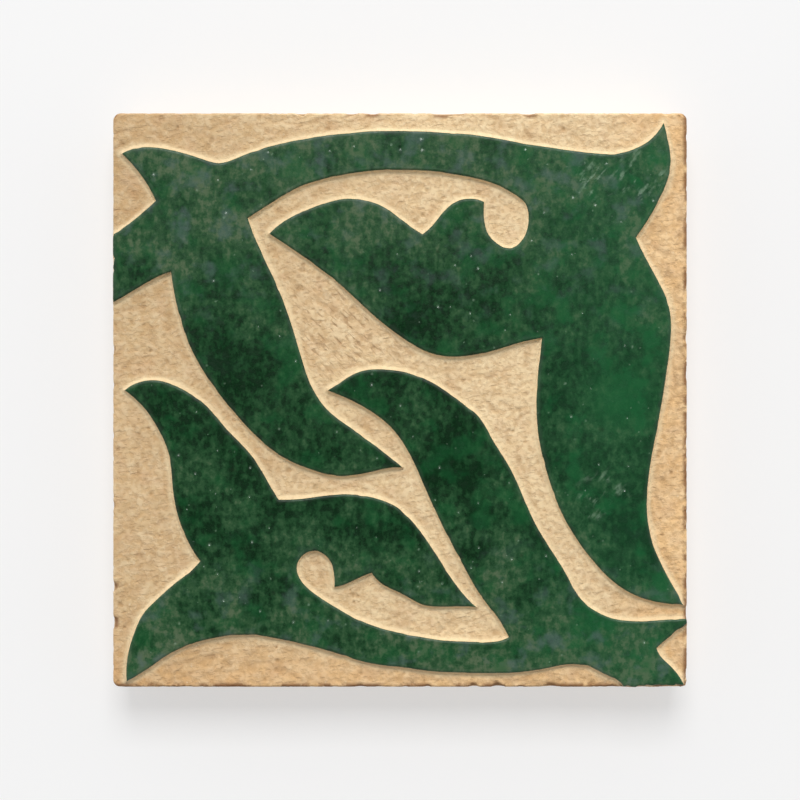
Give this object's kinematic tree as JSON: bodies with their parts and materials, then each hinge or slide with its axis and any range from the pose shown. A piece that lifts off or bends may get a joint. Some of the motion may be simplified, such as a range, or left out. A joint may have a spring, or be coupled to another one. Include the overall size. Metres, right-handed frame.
{
  "type": "moorish pool tile",
  "caption": "Square fired clay tile with a green glazed leaf ornament left standing over hand-carved bare clay.",
  "frame": {"origin": "middle of the flat back", "axes": "+Z out of the glazed face, +X along the foot of the ornament to the right, +Y up the ornament"},
  "size_m": [0.1, 0.1, 0.012],
  "materials": {
    "fired_clay": "matte",
    "green_glaze": "satin"
  },
  "bodies": {
    "root": {"tile": "fired_clay"}
  },
  "joints": []
}
